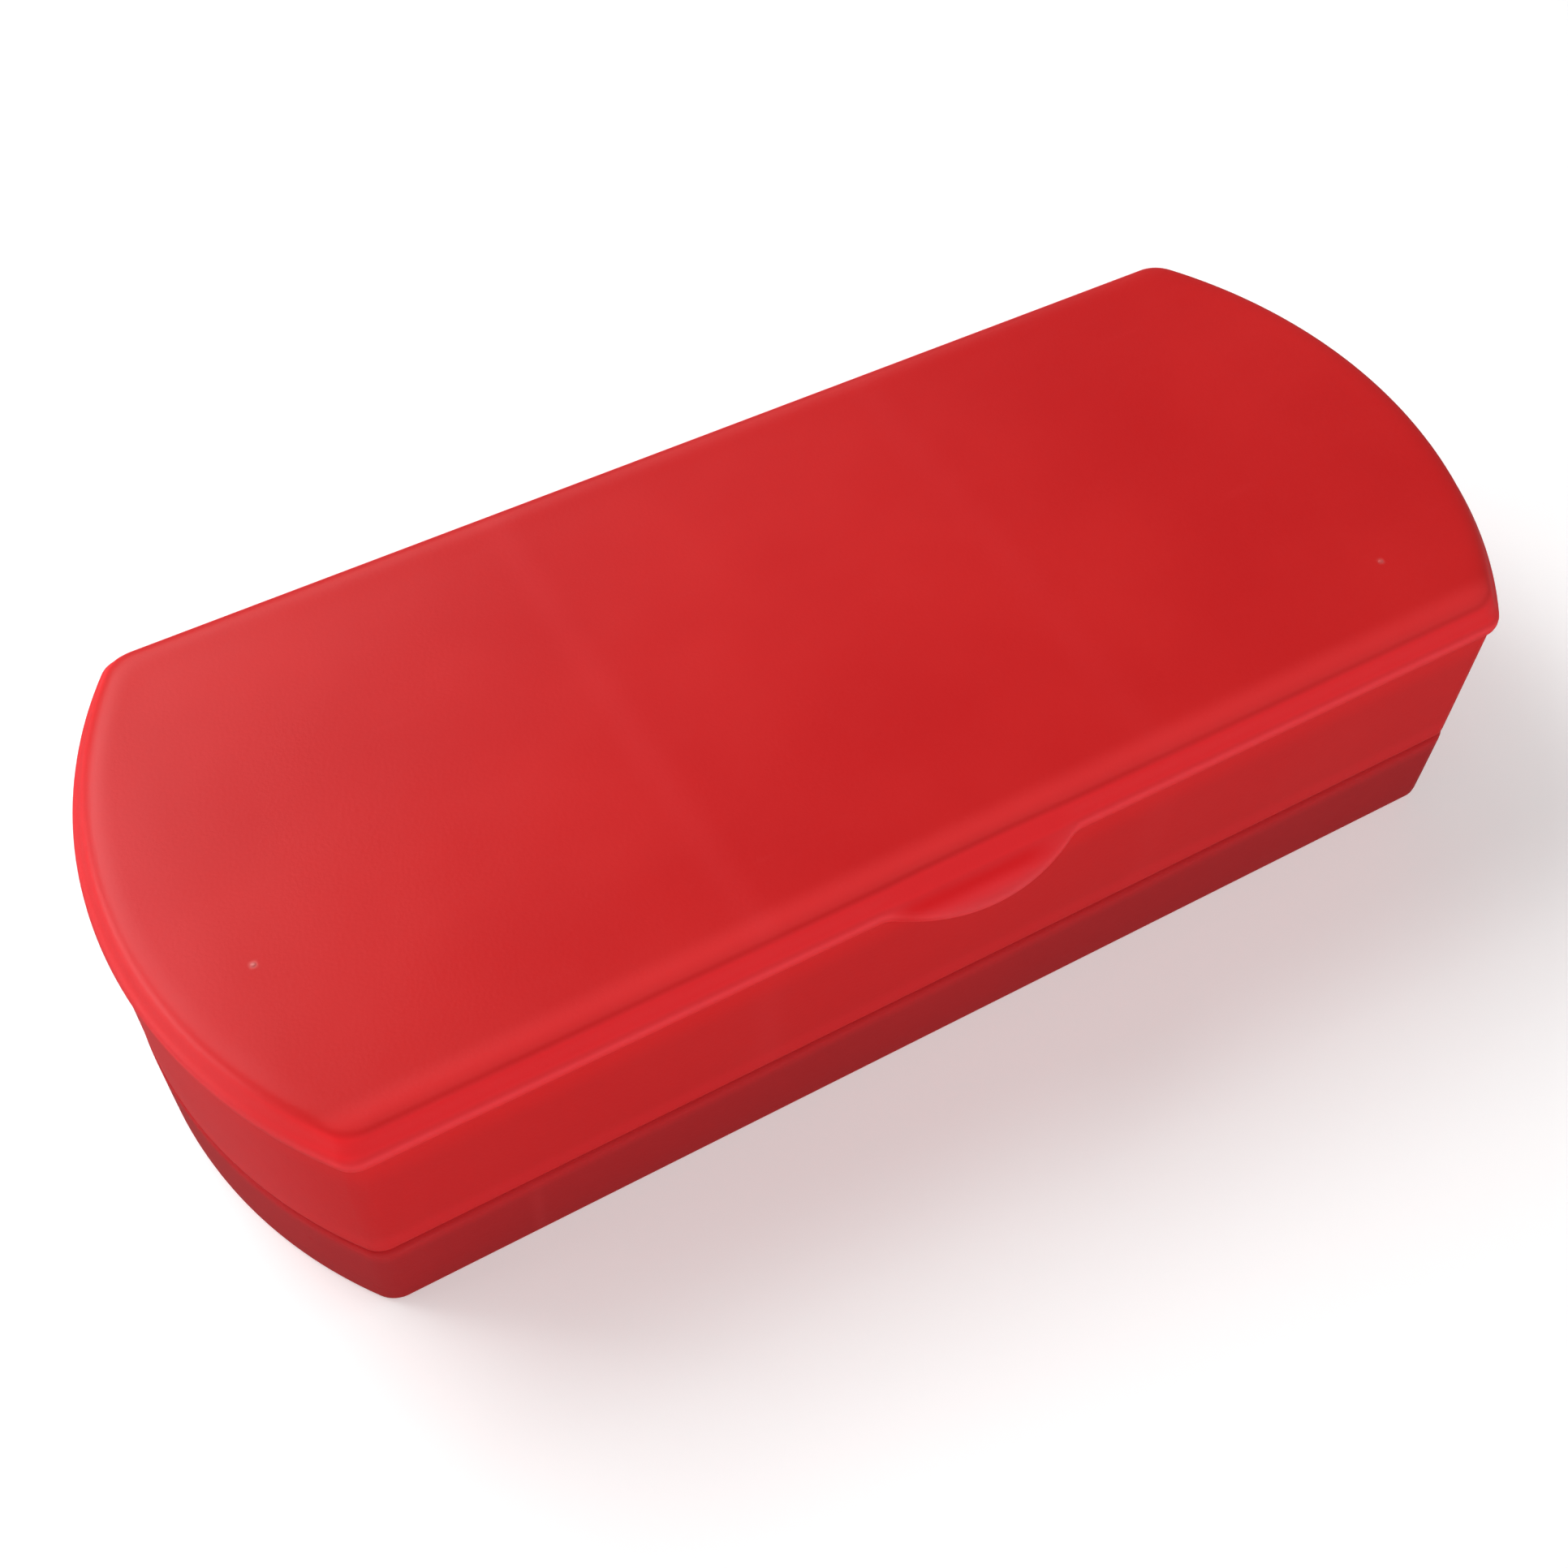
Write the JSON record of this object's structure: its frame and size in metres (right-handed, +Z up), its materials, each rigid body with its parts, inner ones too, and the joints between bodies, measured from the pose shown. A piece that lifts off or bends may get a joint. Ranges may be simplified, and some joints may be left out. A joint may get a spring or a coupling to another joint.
{
  "type": "clay bar in hinged storage case",
  "caption": "Rounded flip-lid plastic case with a front thumb tab and back hinges, holding film-wrapped blocks of detailing clay.",
  "frame": {"origin": "centre of the footprint at the flat underside of the base", "axes": "+X along the case's long side, -Y towards the thumb tab, +Y towards the hinges, +Z up out of the lid"},
  "size_m": [0.1176, 0.0532, 0.0261],
  "materials": {
    "base_plastic": "satin moulded polypropylene, red",
    "lid_plastic": "satin moulded polypropylene, red",
    "pin_steel": "drawn wire",
    "clay": "matte putty, blue",
    "film": "clear thin film"
  },
  "bodies": {
    "base": {"base_shell": "base_plastic", "hinge_pin_left": "pin_steel", "hinge_pin_right": "pin_steel", "clay_bar_left": "clay", "clay_bar_middle": "clay", "clay_bar_right": "clay", "film_wrap_left": "film", "film_wrap_middle": "film", "film_wrap_right": "film"},
    "lid": {"lid_shell": "lid_plastic"}
  },
  "joints": [
    {"name": "lid_hinge", "type": "hinge", "parent": "base", "child": "lid", "pos_m": [0, 0.02523, 0.009], "axis": [-1, 0, 0], "range_deg": [0, 120]}
  ]
}
